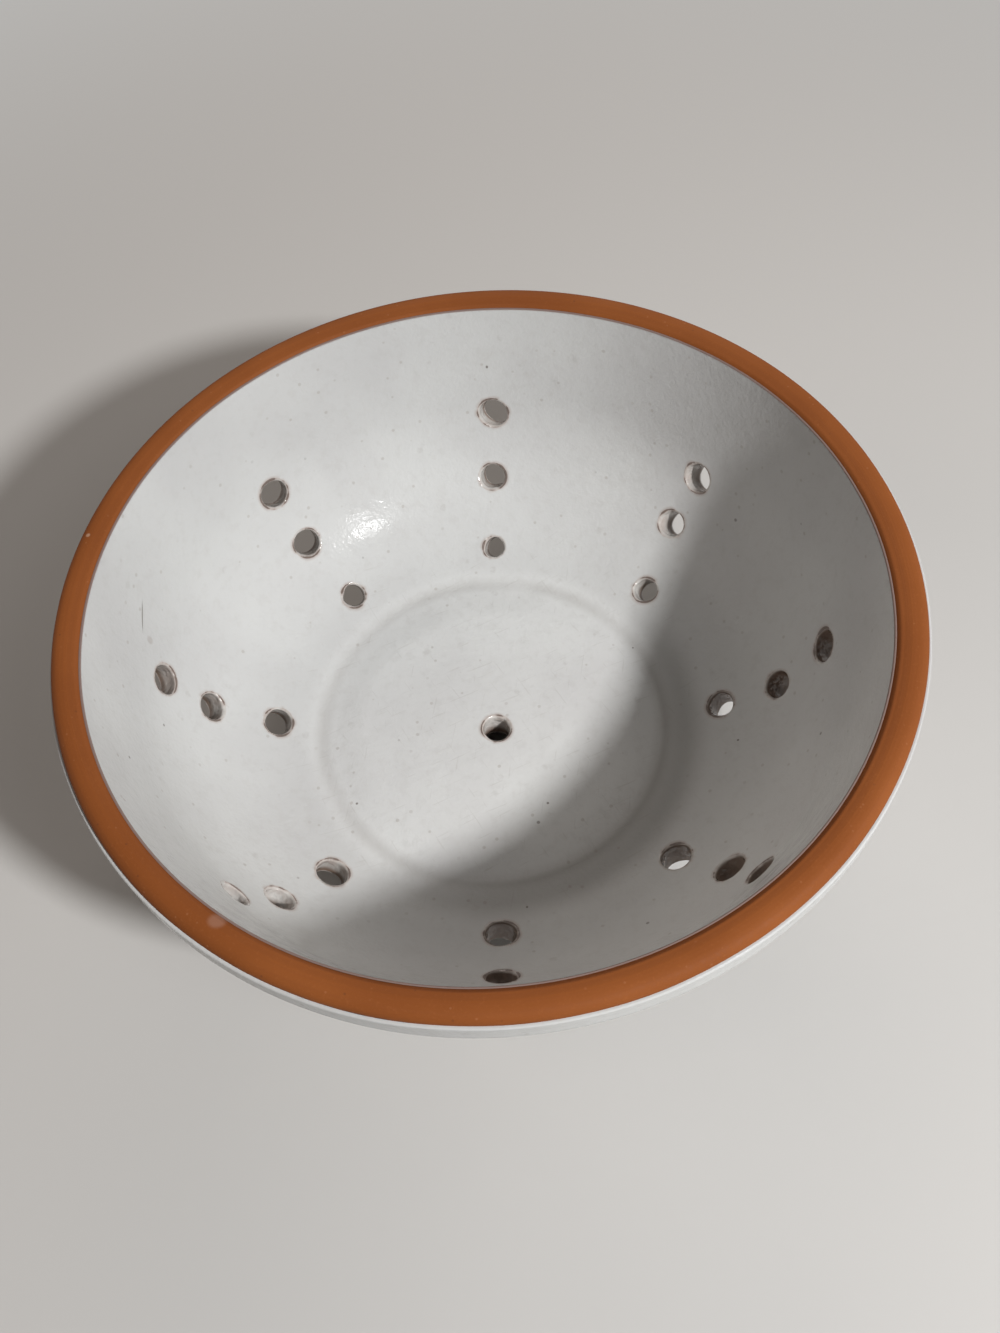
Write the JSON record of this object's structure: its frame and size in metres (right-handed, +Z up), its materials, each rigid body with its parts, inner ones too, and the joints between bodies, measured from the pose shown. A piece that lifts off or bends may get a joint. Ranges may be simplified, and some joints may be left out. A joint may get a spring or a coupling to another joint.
{
  "type": "berry bowl",
  "caption": "Round footed pottery bowl with drain holes through its wall and floor for rinsing and serving berries, white glaze inside and out over red clay, and a bare clay rim.",
  "frame": {"origin": "on the table, at the centre of the foot ring's resting face", "axes": "+Z up along the bowl's axis, -Y towards the front, +X to the right through a column of drain holes"},
  "size_m": [0.201, 0.201, 0.08],
  "materials": {
    "bare_clay": "bare fired red clay, matte",
    "white_glaze": "white, semi-gloss, finely speckled"
  },
  "bodies": {
    "root": {"clay_body": "bare_clay", "inside_glaze": "white_glaze", "outside_glaze": "white_glaze", "drain_lining_centre": "white_glaze", "drain_lining_low_1": "white_glaze", "drain_lining_low_2": "white_glaze", "drain_lining_low_3": "white_glaze", "drain_lining_low_4": "white_glaze", "drain_lining_low_5": "white_glaze", "drain_lining_low_6": "white_glaze", "drain_lining_low_7": "white_glaze", "drain_lining_low_8": "white_glaze", "drain_lining_mid_1": "white_glaze", "drain_lining_mid_2": "white_glaze", "drain_lining_mid_3": "white_glaze", "drain_lining_mid_4": "white_glaze", "drain_lining_mid_5": "white_glaze", "drain_lining_mid_6": "white_glaze", "drain_lining_mid_7": "white_glaze", "drain_lining_mid_8": "white_glaze", "drain_lining_high_1": "white_glaze", "drain_lining_high_2": "white_glaze", "drain_lining_high_3": "white_glaze", "drain_lining_high_4": "white_glaze", "drain_lining_high_5": "white_glaze", "drain_lining_high_6": "white_glaze", "drain_lining_high_7": "white_glaze", "drain_lining_high_8": "white_glaze"}
  },
  "joints": []
}
